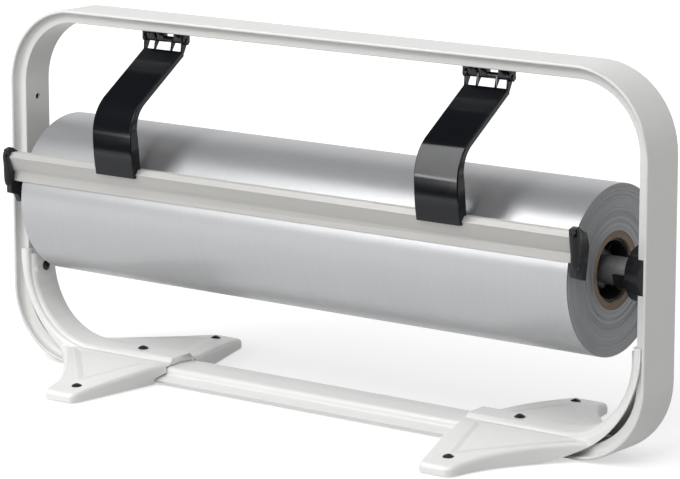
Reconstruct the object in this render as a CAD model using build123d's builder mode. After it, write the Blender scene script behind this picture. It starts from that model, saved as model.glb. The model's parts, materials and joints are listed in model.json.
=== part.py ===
from build123d import *
import os

os.makedirs("parts", exist_ok=True)

# Lengths in mm. +X runs along the roll, +Y to the back, +Z up.
# The origin lies on the table, in the middle of the machine.

# General
ground_gap = 1.0
overrun = 2.0
fit_gap = 0.02
run_gap = 0.06
free_gap = 0.35

# Frame
end_room = 41.4
frame_height = 278.5
frame_depth = 40.0
frame_thick = 10.5
edge_band = 6.4
edge_thick = 2.6
edge_round = 1.25
groove_radius = 4.2
ridge_round = 0.9
frame_wall = 1.7
top_radius = 61.3
foot_radius = 57.7
leg_reach = 88.4
slot_drop = 10.6
slot_rise = 14.7
slot_length = 28.0
slot_depth = 4.6
side_hole_drop = 73.5
side_hole_radius = 2.3

# Roll, core and shaft
roll_half = 250.0
roll_radius = 61.2
core_radius = 28.0
core_bore = 23.0
core_inset = 0.5
shaft_y = 6.3
shaft_height = 133.0
shaft_radius = 10.2
shaft_end_gap = 0.4
shaft_chamfer = 1.0

# Core adapters and collars
adapter_lip = 3.0
adapter_depth = 38.0
adapter_wall = 2.2
hub_radius = 14.0
hub_depth = 10.0
web_thick = 3.0
vane_thick = 2.0
vane_count = 8
vane_depth = 13.0
collar_radius = 15.5
collar_length = 9.0

# Shaft bearings
cradle_wall = 2.6
cradle_length = 14.0
disc_radius = 20.0
disc_thick = 10.8
disc_rise = 1.0
plug_front_gap = 0.3
bearing_gap = 0.1

# Cutter bar, blade and end caps
bar_overhang = 6.0
bar_gap = 0.32
bar_contact_shares = (-0.9656, 0.2601)
bar_tall = 22.6
bar_shares = [
    (0.000, 0.960), (-0.345, 1.000), (-0.487, 0.836), (-0.403, 0.650), (-0.310, 0.429),
    (-0.212, 0.288), (-0.248, 0.000), (-0.137, 0.000), (-0.045, 0.380),
]
bar_hollow_shares = [
    (-0.062, 0.900), (-0.327, 0.935), (-0.412, 0.829), (-0.342, 0.650), (-0.250, 0.440),
    (-0.110, 0.440),
]
bar_ridge = 0.5
bar_ridge_shares = (-0.080, -0.195)
blade_thick = 0.8
blade_back = 4.35
blade_drop = 0.8
blade_tall = 9.0
blade_bevel = 0.5
cap_thick = 4.5
cap_drop = 18.0
cap_tall = 44.2
cap_shares = [
    (-0.276, 0.965), (-0.158, 0.996), (-0.036, 0.918), (0.084, 0.865), (0.152, 0.645),
    (0.110, 0.380), (0.059, 0.113), (-0.213, 0.199), (-0.222, 0.560), (-0.262, 0.800),
]
cap_round = 0.8
cap_finger_shares = [(-0.045, 0.150), (0.104, 0.373), (0.104, 0.000), (0.042, 0.000)]
spigot_length = 12.0

# Arms
arm_place_share = 0.592
arm_half = 18.8
arm_sheet = 1.5
arm_flange = 4.2
arm_flange_low = 8.4
arm_edge_round = 0.9
strap_back = 4.0
strap_drop = 7.7
strap_turn_back = 1.8
strap_turn_share = 0.6017
arm_front_back = 16.3
arm_front_share = 0.3185
arm_tip_back = 13.1
arm_tip_rise = 16.3
pivot_y = -2.0
pivot_drop = 6.3
pin_radius = 1.3
pin_head_radius = 2.1
pin_head = 0.8
barrel_radius = 2.4
finger_half = 0.8
finger_place = 8.0
ear_radius = 3.4
tab_half = 14.0
tab_back = 0.6
tab_screw_back = 3.6

# Hinge brackets
bracket_half = 20.8
bracket_sheet = 1.6
bracket_front_y = -5.2
bracket_back_y = 1.2
tongue_half = 15.5
tongue_back_y = 7.6
bracket_ear_radius = 3.0
knuckle_gap = 0.4
bracket_screw_x = 12.0
bracket_screw_y = 4.9
bracket_screw_length = 4.5

# Feet
sheet = 2.0
foot_top = 14.0
roof_radius = 800.0
rim_radius = 3.6
toe_round = 9.0
foot_reach = 147.9
notch_front_y = -24.0
notch_back_y = 24.0
notch_length = 7.0
front_toe_y = -110.0
front_toe_in = 119.9
front_toe_out = 83.9
front_side = 69.9
front_side_y = -59.0
back_toe_y = 111.0
back_toe_in = 138.9
back_toe_out = 95.9
back_heel = 92.4
back_heel_y = 90.0
back_side = 70.9
back_side_y = 55.0
waist = 33.9
foot_bend = 60.0
foot_arm_margin = 3.5
foot_arm_top = 86.0
edge_radius = 88.0
edge_start = 58.9
edge_end_out = 5.1
edge_end = 78.5
rib_margin = 3.5
rib_rise = 3.7
rib_slope = 3.0
rib_top = 82.0

# Rail and its connectors
rail_gap = 90.9
rail_sheet = 2.0
rail_crown = 12.5
rail_corner_y = 16.3
rail_corner = 11.3
rail_round = 2.5
rail_knee_y = 17.0
rail_knee = 5.2
rail_edge_y = 26.0
rail_edge = 1.8
link_start = 192.9
link_end = 92.9
link_sheet = 1.6
link_edge_y = 20.0
link_wall_y = 12.5

# Screws, nuts, washers and pads
head_radius = 4.0
head_rise = 2.3
shank_radius = 2.4
rim_share = 0.3
nut_radius = 4.6
nut_thick = 3.2
nut_sides = 6
small_head_radius = 2.3
small_head_rise = 1.2
small_shank_radius = 1.2
small_length = 4.0
centre_screw_in = 105.1
arm_screw_height = 71.0
front_screw_in = 102.6
front_screw_y = -91.5
back_screw_in = 118.9
back_screw_y = 93.3
toe_shank_length = 6.0
pad_radius = 9.0
seat_drop = 0.5
washer_radius = 5.5

# Worked out from the values above
base = ground_gap
half_width = roll_half + end_room
inner_x = half_width - frame_thick
leg_end_x = half_width - leg_reach
ridge_half = frame_depth / 2 - edge_band
top_z = base + frame_height
under_z = top_z - frame_thick
shaft_z = base + shaft_height
pivot_z = under_z - pivot_drop
slot_middle_z = shaft_z + (slot_rise - slot_drop) / 2
slot_tall = slot_rise + slot_drop
slot_back_y = slot_length - frame_depth / 2
web_x = inner_x - sheet
bend_x = web_x - foot_bend
bend_z = base + foot_top + foot_bend
disc_outer_x = inner_x - bearing_gap
disc_inner_x = disc_outer_x - disc_thick
shaft_half = disc_inner_x - shaft_end_gap
foot_inner_x = inner_x - foot_reach
foot_arm_half = frame_depth / 2 - foot_arm_margin
rib_half = foot_arm_half - rib_margin
waist_x = inner_x - waist
edge_start_x = inner_x - edge_start
edge_end_x = inner_x + edge_end_out
rail_half = inner_x - rail_gap
centre_screw_x = inner_x - centre_screw_in
front_screw_x = inner_x - front_screw_in
back_screw_x = inner_x - back_screw_in
bar_half = roll_half + bar_overhang
bar_reach = roll_radius + bar_gap
bar_back_y = shaft_y + bar_contact_shares[0] * bar_reach - bar_shares[7][0] * bar_tall
bar_low_z = shaft_z + bar_contact_shares[1] * bar_reach
arm_x = arm_place_share * roll_half
shaft_plane = Plane(origin=(0, shaft_y, shaft_z), x_dir=(0, 1, 0), z_dir=(1, 0, 0))


def label_and_export(piece, label):
    """Name a finished piece and write it to its own file."""
    piece.part.label = label
    export_step(piece.part, f"parts/{label}.step")


def frame_section(grow):
    """Frame section: flat outer plate with beaded edges and a ridge inwards."""
    half = frame_depth / 2 + grow
    ridge = ridge_half + grow
    plate = edge_thick + grow
    depth = frame_thick + grow
    hollow = groove_radius - grow
    with BuildSketch(Plane.XY, mode=Mode.PRIVATE) as section:
        with BuildLine():
            Line((0, -grow), (half, -grow))
            Line((half, -grow), (half, plate))
            Line((half, plate), (ridge + hollow, plate))
            RadiusArc((ridge + hollow, plate), (ridge, plate + hollow), hollow)
            Line((ridge, plate + hollow), (ridge, depth))
            Line((ridge, depth), (0, depth))
            Line((0, depth), (0, -grow))
        make_face()
        mirror(about=Plane.YZ)
        beads = section.vertices().filter_by(lambda v: abs(v.X) > half - fit_gap)
        fillet(beads, radius=edge_round)
        rims = section.vertices().filter_by(lambda v: v.Y > depth - fit_gap)
        fillet(rims, radius=ridge_round)
    return section.sketch_local


def frame_sweep(grow):
    """Solid swept by the frame's section along its four bends."""
    leg_end = Plane(origin=(-leg_end_x, 0, base), x_dir=(0, -1, 0), z_dir=(-1, 0, 0))
    with BuildPart(mode=Mode.PRIVATE) as bent:
        with BuildLine():
            FilletPolyline(
                (-leg_end_x, 0, base),
                (-half_width, 0, base),
                (-half_width, 0, top_z),
                (half_width, 0, top_z),
                (half_width, 0, base),
                (leg_end_x, 0, base),
                radius=(foot_radius, top_radius, top_radius, foot_radius),
            )
        with BuildSketch(leg_end):
            add(frame_section(grow))
            if grow == 0:
                with Locations((0, frame_thick / 2)):
                    RectangleRounded(
                        2 * (ridge_half - frame_wall),
                        frame_thick - 2 * frame_wall,
                        ridge_round,
                        mode=Mode.SUBTRACT,
                    )
        sweep()
    return bent.part


# Frame: one profile bent at four corners, hollow inside its ridge
with BuildPart() as frame:
    add(frame_sweep(0))
    for side in (-1, 1):
        slot_x = side * (inner_x + (slot_depth - overrun) / 2)
        slot_y = (slot_back_y - frame_depth) / 2
        with Locations((slot_x, slot_y, slot_middle_z)):
            Box(
                slot_depth + overrun,
                slot_back_y + frame_depth,
                slot_tall,
                mode=Mode.SUBTRACT,
            )
        wall_plane = Plane.YZ.offset(side * (inner_x + frame_wall + overrun / 2))
        with BuildSketch(wall_plane):
            with Locations((0, top_z - side_hole_drop)):
                Circle(side_hole_radius)
            with Locations((0, base + arm_screw_height)):
                Circle(shank_radius + fit_gap)
        extrude(amount=-side * (frame_wall + overrun), mode=Mode.SUBTRACT)
        with BuildSketch(Plane.XY.offset(under_z - overrun)):
            with Locations((side * arm_x, bracket_screw_y)):
                with GridLocations(2 * bracket_screw_x, 0, 2, 1):
                    Circle(small_shank_radius + fit_gap)
        extrude(amount=frame_wall + 2 * overrun, mode=Mode.SUBTRACT)
label_and_export(frame, "frame")


def foot_plan(inset):
    """Plan of the right foot: two toes and the waist, drawn in by the inset."""
    with BuildSketch(Plane.XY, mode=Mode.PRIVATE) as plan:
        with BuildLine():
            Polyline(
                (inner_x - front_toe_out, front_toe_y),
                (inner_x - front_toe_in, front_toe_y),
                (foot_inner_x, notch_front_y),
                (foot_inner_x, notch_back_y),
                (inner_x - back_toe_in, back_toe_y),
                (inner_x - back_toe_out, back_toe_y),
                (inner_x - back_heel, back_heel_y),
            )
            ThreePointArc(
                (inner_x - back_heel, back_heel_y),
                (inner_x - back_side, back_side_y),
                (waist_x, foot_arm_half),
            )
            Line((waist_x, foot_arm_half), (waist_x, -foot_arm_half))
            ThreePointArc(
                (waist_x, -foot_arm_half),
                (inner_x - front_side, front_side_y),
                (inner_x - front_toe_out, front_toe_y),
            )
        make_face()
        corners = plan.vertices().filter_by(lambda v: abs(v.Y) > back_heel_y + toe_round)
        fillet(corners, radius=toe_round)
        if inset > 0:
            offset(amount=-inset, mode=Mode.REPLACE)
    return plan.sketch_local


def foot_side(inset, rise):
    """Side view of the waist and arm: flat top, bend up the frame, open edge."""
    skin = foot_bend - rise + inset
    floor = base
    rim = edge_radius
    tip_x = edge_end_x
    crest = base + foot_arm_top
    start_x = foot_inner_x + inset
    if inset > 0:
        floor = base - overrun
        rim = edge_radius + overrun
        tip_x = edge_end_x + overrun
        crest = crest - inset
    if rise > 0:
        crest = base + rib_top - inset
    with BuildSketch(Plane.XZ, mode=Mode.PRIVATE) as side_view:
        with BuildLine():
            Polyline(
                (edge_start_x, floor),
                (start_x, floor),
                (start_x, bend_z - skin),
                (bend_x, bend_z - skin),
            )
            CenterArc((bend_x, bend_z), skin, 0, -90)
            Polyline(
                (bend_x + skin, bend_z),
                (bend_x + skin, crest),
                (tip_x, crest),
                (tip_x, base + edge_end),
            )
            RadiusArc((tip_x, base + edge_end), (edge_start_x, floor), rim)
        make_face()
    return side_view.sketch_local


def skin_edges(piece, skin):
    """Long edges where the side walls of the waist, arm or rib meet its skin."""
    sides = piece.faces().filter_by(Axis.Y).edges()
    flat = sides.filter_by(lambda e: abs((e @ 0.5).Z - (bend_z - skin)) < fit_gap)
    wall = sides.filter_by(lambda e: abs((e @ 0.5).X - (bend_x + skin)) < fit_gap)
    arcs = sides.filter_by(GeomType.CIRCLE)
    bend = arcs.filter_by(lambda e: abs(e.radius - skin) < fit_gap)
    return flat + wall + bend


def open_side():
    """Side view of the space beyond the foot's open edge, which curves up from the table."""
    far_x = half_width + overrun
    with BuildSketch(Plane.XZ, mode=Mode.PRIVATE) as beyond:
        with BuildLine():
            RadiusArc((edge_end_x, base + edge_end), (edge_start_x, base), edge_radius)
            Polyline(
                (edge_start_x, base),
                (edge_start_x, base - overrun),
                (far_x, base - overrun),
                (far_x, base + edge_end),
                (edge_end_x, base + edge_end),
            )
        make_face()
    return beyond.sketch_local


def foot_form(inset):
    """Solid of the right foot, or the space under its sheet when drawn in."""
    floor = base - overrun if inset > 0 else base
    crest = base + foot_top - inset
    with BuildPart(mode=Mode.PRIVATE) as toes:
        with BuildSketch(Plane.XY.offset(floor)):
            add(foot_plan(inset))
        extrude(amount=crest - floor)
        with BuildSketch(Plane.YZ.offset(foot_inner_x - overrun)):
            with Locations((0, crest - roof_radius)):
                Circle(roof_radius)
        extrude(amount=half_width, mode=Mode.INTERSECT)
        rims = toes.faces().sort_by(SortBy.AREA)[-2:].sort_by(Axis.Z)[-1].edges()
        fillet(rims, radius=rim_radius - inset)
        if inset == 0:
            with BuildSketch(Plane.XZ):
                add(open_side())
            extrude(amount=foot_reach, both=True, mode=Mode.SUBTRACT)
    with BuildPart(mode=Mode.PRIVATE) as rising:
        with BuildSketch(Plane.XZ):
            add(foot_side(inset, 0))
        extrude(amount=foot_arm_half - inset, both=True)
        fillet(skin_edges(rising, foot_bend + inset), radius=rim_radius - inset)
    with BuildPart(mode=Mode.PRIVATE) as rib:
        with BuildSketch(Plane.XZ):
            add(foot_side(inset, rib_rise))
        extrude(amount=rib_half - inset, both=True)
        chamfer(skin_edges(rib, foot_bend - rib_rise + inset), length=rib_slope)
    with BuildPart(mode=Mode.PRIVATE) as form:
        add(toes.part)
        add(rising.part)
        add(rib.part)
    return form.part


def roof_z(y):
    """Height of the toes' sloping top at a distance from the middle."""
    return base + foot_top - roof_radius + (roof_radius**2 - y**2) ** 0.5


def screw_seat(y):
    """Height of the flat seat pressed round a toe screw."""
    return roof_z(y) - seat_drop


# Feet: one pressed sheet with two toes, a raised rib and an arm up the frame
toe_screws_at = ((front_screw_x, front_screw_y), (back_screw_x, back_screw_y))
with BuildPart() as right_foot:
    add(foot_form(0))
    add(foot_form(sheet), mode=Mode.SUBTRACT)
    add(frame_sweep(free_gap), mode=Mode.SUBTRACT)
    with BuildSketch(Plane.YZ.offset(foot_inner_x - overrun)):
        with BuildLine():
            Polyline(
                (0, base - overrun),
                (rail_edge_y + rail_sheet, base - overrun),
                (rail_edge_y + rail_sheet, base + rail_edge + rail_sheet),
                (rail_knee_y + free_gap, base + rail_knee + rail_sheet),
                (rail_knee_y + free_gap, base + rail_corner + free_gap),
                (0, base + rail_crown + free_gap),
                close=True,
            )
        make_face()
        mirror(about=Plane.YZ)
    extrude(amount=notch_length, mode=Mode.SUBTRACT)
    for x, y in toe_screws_at:
        with Locations((x, y, screw_seat(y))):
            Cylinder(
                head_radius + free_gap,
                foot_top,
                align=(Align.CENTER, Align.CENTER, Align.MIN),
                mode=Mode.SUBTRACT,
            )
            Cylinder(shank_radius + fit_gap, foot_top, mode=Mode.SUBTRACT)
    with Locations((centre_screw_x, 0, base + foot_top)):
        Cylinder(shank_radius + fit_gap, foot_top, mode=Mode.SUBTRACT)
    with BuildSketch(Plane.YZ.offset(inner_x)):
        with Locations((0, base + arm_screw_height)):
            Circle(shank_radius + fit_gap)
    extrude(amount=-foot_bend / 2, mode=Mode.SUBTRACT)
    with BuildSketch(Plane.YZ.offset(web_x - rib_rise)):
        with Locations((0, base + arm_screw_height)):
            Circle(head_radius + free_gap)
    extrude(amount=-rib_rise, mode=Mode.SUBTRACT)
label_and_export(right_foot, "right_foot")

half_turn = 180
with BuildPart() as left_foot:
    add(right_foot.part.rotate(Axis.Z, half_turn))
label_and_export(left_foot, "left_foot")

# Cross rail: folded channel with sloping side flanges
rail_skin = rail_sheet / 2
with BuildPart() as cross_rail:
    with BuildSketch(Plane.YZ.offset(-rail_half)):
        with BuildLine():
            FilletPolyline(
                (-rail_edge_y, base + rail_edge),
                (-rail_knee_y + rail_skin, base + rail_knee),
                (-rail_corner_y + rail_skin, base + rail_corner - rail_skin),
                (0, base + rail_crown - rail_skin),
                (rail_corner_y - rail_skin, base + rail_corner - rail_skin),
                (rail_knee_y - rail_skin, base + rail_knee),
                (rail_edge_y, base + rail_edge),
                radius=rail_round,
            )
        trace(line_width=rail_sheet)
    extrude(amount=2 * rail_half)
    with Locations((centre_screw_x, 0, base + rail_crown), (-centre_screw_x, 0, base + rail_crown)):
        Cylinder(shank_radius + fit_gap, foot_top, mode=Mode.SUBTRACT)
label_and_export(cross_rail, "cross_rail")

# Rail connectors: hat-shaped inserts under both ends of the rail
link_top = base + rail_corner - rail_sheet
link_skin = link_sheet / 2
for side, label in ((-1, "left_rail_connector"), (1, "right_rail_connector")):
    with BuildPart() as rail_connector:
        with BuildSketch(Plane.YZ.offset(side * (inner_x - link_start))):
            with BuildLine():
                FilletPolyline(
                    (-link_edge_y, base + link_skin),
                    (-link_wall_y, base + link_skin),
                    (-link_wall_y, link_top - link_skin),
                    (link_wall_y, link_top - link_skin),
                    (link_wall_y, base + link_skin),
                    (link_edge_y, base + link_skin),
                    radius=link_sheet,
                )
            trace(line_width=link_sheet)
        extrude(amount=side * (link_start - link_end))
        with Locations((side * centre_screw_x, 0, link_top)):
            Cylinder(shank_radius + fit_gap, foot_top, mode=Mode.SUBTRACT)
    label_and_export(rail_connector, label)


def screw(seat, length, radius=head_radius, rise=head_rise, shank=shank_radius):
    """Domed screw standing on a plane: head above it, shank below."""
    rim = rise * rim_share
    dome_radius = (radius**2 + (rise - rim) ** 2) / (2 * (rise - rim))
    with BuildPart(mode=Mode.PRIVATE) as screw_form:
        with BuildSketch(Plane.XZ):
            with BuildLine():
                Polyline((0, -length), (shank, -length), (shank, 0), (radius, 0))
                Line((radius, 0), (radius, rim))
                RadiusArc((radius, rim), (0, rise), -dome_radius)
                Line((0, rise), (0, -length))
            make_face()
        revolve(axis=Axis.Z)
    return seat.location * screw_form.part


# Screws, nuts, spacers and pads of the feet
sides = (-1, 1)
with BuildPart() as toe_screws:
    for side in sides:
        for x, y in toe_screws_at:
            seat = Plane(origin=(side * x, side * y, screw_seat(y)))
            add(screw(seat, toe_shank_length))
label_and_export(toe_screws, "toe_screws")

rib_crest = base + foot_top + rib_rise
nut_crest = link_top - link_sheet
with BuildPart() as centre_screws:
    for side in sides:
        seat = Plane(origin=(side * centre_screw_x, 0, rib_crest))
        add(screw(seat, rib_crest - nut_crest + nut_thick))
label_and_export(centre_screws, "centre_screws")

arm_screw_z = base + arm_screw_height
rib_face_x = web_x - rib_rise
with BuildPart() as arm_screws:
    for side in sides:
        seat = Plane(
            origin=(side * rib_face_x, 0, arm_screw_z), x_dir=(0, 1, 0), z_dir=(-side, 0, 0)
        )
        add(screw(seat, inner_x + frame_wall + nut_thick - rib_face_x))
label_and_export(arm_screws, "arm_screws")


def nut(plane):
    """Six-sided nut on a plane, with its hole."""
    with BuildPart(mode=Mode.PRIVATE) as nut_form:
        with BuildSketch(plane):
            RegularPolygon(nut_radius, nut_sides)
            Circle(shank_radius + fit_gap, mode=Mode.SUBTRACT)
        extrude(amount=nut_thick)
    return nut_form.part


with BuildPart() as screw_nuts:
    for side in sides:
        add(nut(Plane(origin=(side * centre_screw_x, 0, nut_crest - nut_thick))))
        wall_x = side * (inner_x + frame_wall)
        add(nut(Plane(origin=(wall_x, 0, arm_screw_z), z_dir=(side, 0, 0))))
label_and_export(screw_nuts, "screw_nuts")


def washer(plane, thick):
    """Plain spacer washer standing on a plane."""
    with BuildPart(mode=Mode.PRIVATE) as washer_form:
        with BuildSketch(plane):
            Circle(washer_radius)
            Circle(shank_radius + fit_gap, mode=Mode.SUBTRACT)
        extrude(amount=thick)
    return washer_form.part


rail_crest = base + rail_crown
with BuildPart() as spacer_washers:
    for side in sides:
        rail_seat = Plane(origin=(side * centre_screw_x, 0, rail_crest))
        add(washer(rail_seat, rib_crest - sheet - rail_crest))
        arm_seat = Plane(origin=(side * inner_x, 0, arm_screw_z), z_dir=(-side, 0, 0))
        add(washer(arm_seat, inner_x - rib_face_x - sheet))
label_and_export(spacer_washers, "spacer_washers")

with BuildPart() as foot_pads:
    for side in sides:
        for x, y in toe_screws_at:
            pad_tall = roof_z(abs(y) + pad_radius) - sheet - fit_gap
            pad_plane = Plane(origin=(side * x, side * y, 0))
            with BuildSketch(pad_plane):
                Circle(pad_radius)
            extrude(amount=pad_tall)
            with BuildSketch(pad_plane.offset(screw_seat(y) - toe_shank_length)):
                Circle(shank_radius + fit_gap)
            extrude(amount=pad_tall, mode=Mode.SUBTRACT)
label_and_export(foot_pads, "foot_pads")

# Roll: paper wound on a cardboard core
with BuildPart() as paper_roll:
    with BuildSketch(shaft_plane.offset(-roll_half)):
        Circle(roll_radius)
        Circle(core_radius + fit_gap, mode=Mode.SUBTRACT)
    extrude(amount=2 * roll_half)
label_and_export(paper_roll, "paper_roll")

with BuildPart() as cardboard_core:
    with BuildSketch(shaft_plane.offset(core_inset - roll_half)):
        Circle(core_radius)
        Circle(core_bore, mode=Mode.SUBTRACT)
    extrude(amount=2 * (roll_half - core_inset))
label_and_export(cardboard_core, "cardboard_core")

# Shaft, adapters and collars turn with the roll
with BuildPart() as shaft:
    with BuildSketch(shaft_plane.offset(-shaft_half)):
        Circle(shaft_radius)
    extrude(amount=2 * shaft_half)
    chamfer(shaft.faces().filter_by(Axis.X).edges(), length=shaft_chamfer)
label_and_export(shaft, "shaft")

for side, label in ((-1, "left_core_adapter"), (1, "right_core_adapter")):
    adapter_plane = Plane(
        origin=(side * (roll_half - adapter_depth), shaft_y, shaft_z),
        x_dir=(0, 1, 0),
        z_dir=(side, 0, 0),
    )
    ring_radius = core_bore - fit_gap
    ring_bore = ring_radius - adapter_wall
    with BuildPart() as core_adapter:
        with BuildSketch(adapter_plane):
            Circle(ring_radius)
        extrude(amount=web_thick)
        with BuildSketch(adapter_plane):
            Circle(ring_radius)
            Circle(ring_bore, mode=Mode.SUBTRACT)
        extrude(amount=adapter_depth - adapter_lip)
        with BuildSketch(adapter_plane):
            Circle(hub_radius)
        extrude(amount=adapter_depth - hub_depth)
        with BuildSketch(adapter_plane):
            with PolarLocations((hub_radius + ring_radius - adapter_wall / 2) / 2, vane_count):
                Rectangle(ring_radius - hub_radius, vane_thick)
        extrude(amount=adapter_depth - vane_depth)
        with BuildSketch(adapter_plane):
            Circle(shaft_radius + fit_gap)
        extrude(amount=adapter_depth - adapter_lip, mode=Mode.SUBTRACT)
    label_and_export(core_adapter, label)

with BuildPart() as shaft_collars:
    for side in sides:
        collar_x = side * (roll_half - adapter_depth - collar_length / 2 - fit_gap)
        with BuildSketch(shaft_plane.offset(collar_x)):
            Circle(collar_radius)
            Circle(shaft_radius + fit_gap, mode=Mode.SUBTRACT)
        extrude(amount=collar_length / 2, both=True)
label_and_export(shaft_collars, "shaft_collars")

# Shaft bearings: plug in the frame's slot, disc and half-round cradle
for side, label in ((-1, "left_bearing"), (1, "right_bearing")):
    disc_plane = Plane(
        origin=(side * disc_inner_x, shaft_y, shaft_z), x_dir=(0, 1, 0), z_dir=(side, 0, 0)
    )
    cradle_bore = shaft_radius + run_gap
    cradle_radius = cradle_bore + cradle_wall
    plug_back_y = slot_back_y - bearing_gap
    plug_tall = slot_tall - 2 * bearing_gap
    with BuildPart() as bearing:
        with BuildSketch(disc_plane):
            with Locations((0, side * disc_rise)):
                Circle(disc_radius)
        extrude(amount=disc_outer_x - disc_inner_x)
        with BuildSketch(disc_plane):
            Circle(cradle_radius)
            Circle(cradle_bore, mode=Mode.SUBTRACT)
            with Locations((0, side * cradle_radius)):
                Rectangle(2 * cradle_radius, 2 * cradle_radius, mode=Mode.SUBTRACT)
        extrude(amount=-cradle_length)
        plug_inner_x = side * (disc_outer_x - fit_gap)
        plug_front_y = plug_front_gap - ridge_half
        plug_middle_y = (plug_front_y + plug_back_y) / 2
        with BuildSketch(Plane.YZ.offset(plug_inner_x)):
            with Locations((plug_middle_y, slot_middle_z)):
                Rectangle(plug_back_y - plug_front_y, plug_tall)
        extrude(amount=side * (slot_depth - bearing_gap))
    label_and_export(bearing, label)


def share_points(shares, size, back_y, low_z):
    """Places in the side view, from shares of one size about a corner."""
    return [(back_y + y_share * size, low_z + z_share * size) for y_share, z_share in shares]


# Cutter bar: hollow extrusion whose lower band holds the blade
bar_top_z = bar_low_z + bar_tall
blade_low_z = bar_low_z - blade_drop
cap_low_z = bar_low_z - cap_drop
blade_y = bar_back_y - blade_back
tab_screw_y = bar_back_y - tab_screw_back
with BuildPart() as cutter_bar:
    with BuildSketch(Plane.YZ.offset(-bar_half)):
        with BuildLine():
            Polyline(share_points(bar_shares, bar_tall, bar_back_y, bar_low_z), close=True)
        make_face()
        ridge_slope = (bar_shares[1][1] - bar_shares[0][1]) / bar_shares[1][0]
        for ridge_share in bar_ridge_shares:
            ridge_y = bar_back_y + ridge_share * bar_tall
            ridge_z = bar_low_z + (bar_shares[0][1] + ridge_slope * ridge_share) * bar_tall
            with Locations((ridge_y, ridge_z)):
                Circle(bar_ridge)
        with BuildLine():
            hollow = share_points(bar_hollow_shares, bar_tall, bar_back_y, bar_low_z)
            Polyline(hollow, close=True)
        make_face(mode=Mode.SUBTRACT)
        with Locations((blade_y + blade_thick / 2, blade_low_z)):
            Rectangle(blade_thick, 2 * blade_tall, mode=Mode.SUBTRACT)
    extrude(amount=2 * bar_half)
    for side in sides:
        with BuildSketch(Plane.XY.offset(bar_top_z + bar_ridge)):
            with Locations((side * arm_x, tab_screw_y)):
                with GridLocations(tab_half, 0, 2, 1):
                    Circle(small_shank_radius + fit_gap)
        extrude(amount=-small_length, mode=Mode.SUBTRACT)
label_and_export(cutter_bar, "cutter_bar")

with BuildPart() as cutting_blade:
    with BuildSketch(Plane.YZ.offset(-bar_half)):
        with BuildLine():
            Polyline(
                (blade_y + blade_thick / 2, blade_low_z),
                (blade_y + blade_thick, blade_low_z + blade_bevel),
                (blade_y + blade_thick, blade_low_z + blade_tall),
                (blade_y, blade_low_z + blade_tall),
                (blade_y, blade_low_z + blade_bevel),
                close=True,
            )
        make_face()
    extrude(amount=2 * bar_half)
label_and_export(cutting_blade, "cutting_blade")

for side, label in ((-1, "left_end_cap"), (1, "right_end_cap")):
    with BuildPart() as end_cap:
        with BuildSketch(Plane.YZ.offset(side * bar_half)) as cap_outline:
            with BuildLine():
                Polyline(share_points(cap_shares, cap_tall, bar_back_y, cap_low_z), close=True)
            make_face()
            if side < 0:
                with BuildLine():
                    finger = share_points(cap_finger_shares, cap_tall, bar_back_y, cap_low_z)
                    Polyline(finger, close=True)
                make_face()
            fillet(cap_outline.vertices(), radius=cap_round)
        extrude(amount=side * cap_thick)
        with BuildSketch(Plane.YZ.offset(side * bar_half)):
            with BuildLine():
                hollow = share_points(bar_hollow_shares, bar_tall, bar_back_y, bar_low_z)
                Polyline(hollow, close=True)
            make_face()
            offset(amount=-fit_gap, mode=Mode.REPLACE)
        extrude(amount=-side * spigot_length)
    label_and_export(end_cap, label)


strap_top_y = pivot_y - strap_back
strap_top_z = pivot_z - strap_drop
arm_tip_y = bar_back_y - arm_tip_back
arm_tip_z = bar_low_z + arm_tip_rise
arm_front_y = bar_back_y - arm_front_back
arm_front_z = arm_tip_z + arm_front_share * (pivot_z - arm_tip_z)
strap_turn_y = bar_back_y - strap_turn_back
strap_turn_z = arm_tip_z + strap_turn_share * (pivot_z - arm_tip_z)


def strap_point(along, inward):
    """Place near the strap's top end, along its outer face and behind it."""
    run_y = strap_turn_y - strap_top_y
    run_z = strap_turn_z - strap_top_z
    run = (run_y**2 + run_z**2) ** 0.5
    y = strap_top_y + (along * run_y - inward * run_z) / run
    z = strap_top_z + (along * run_z + inward * run_y) / run
    return (y, z)


def strap_line():
    """Outer face of the arm's strap in the side view, from the hinge down."""
    with BuildLine(Plane.XY, mode=Mode.PRIVATE) as outer:
        straight = Line((strap_top_y, strap_top_z), (strap_turn_y, strap_turn_z))
        bend = TangentArc(
            (strap_turn_y, strap_turn_z), (arm_front_y, arm_front_z), tangent=straight % 1
        )
        TangentArc((arm_front_y, arm_front_z), (arm_tip_y, arm_tip_z), tangent=bend % 1)
    return outer.line


def strap_band(depth):
    """Side view of the arm's strap, from its outer face to a depth behind it."""
    with BuildSketch(Plane.YZ, mode=Mode.PRIVATE) as band:
        with BuildLine():
            add(strap_line())
            offset(amount=depth, side=Side.LEFT)
        make_face()
    return band.sketch_local


def on_outer_face(edge):
    """Whether an edge of the arm lies along the outer face of its strap."""
    middle = edge @ 0.5
    return strap_line().distance_to(Vector(middle.Y, middle.Z)) < fit_gap


def flange_band(grow):
    """Side view of the arm's flange, which gets deeper down the curve."""
    run = Vector(strap_turn_y - strap_top_y, strap_turn_z - strap_top_z).length
    low_depth = arm_flange_low + grow
    with BuildSketch(Plane.YZ, mode=Mode.PRIVATE) as band:
        with BuildLine():
            add(strap_line())
            Line((arm_tip_y, arm_tip_z), (arm_tip_y + low_depth, arm_tip_z))
            Line((arm_tip_y + low_depth, arm_tip_z), (arm_front_y + low_depth, arm_front_z))
            rear = Line(strap_point(run, arm_flange + grow), strap_point(0, arm_flange + grow))
            TangentArc(
                strap_point(run, arm_flange + grow),
                (arm_front_y + low_depth, arm_front_z),
                tangent=-(rear % 0),
            )
            Line(strap_point(0, arm_flange + grow), (strap_top_y, strap_top_z))
        make_face()
    return band.sketch_local


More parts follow.
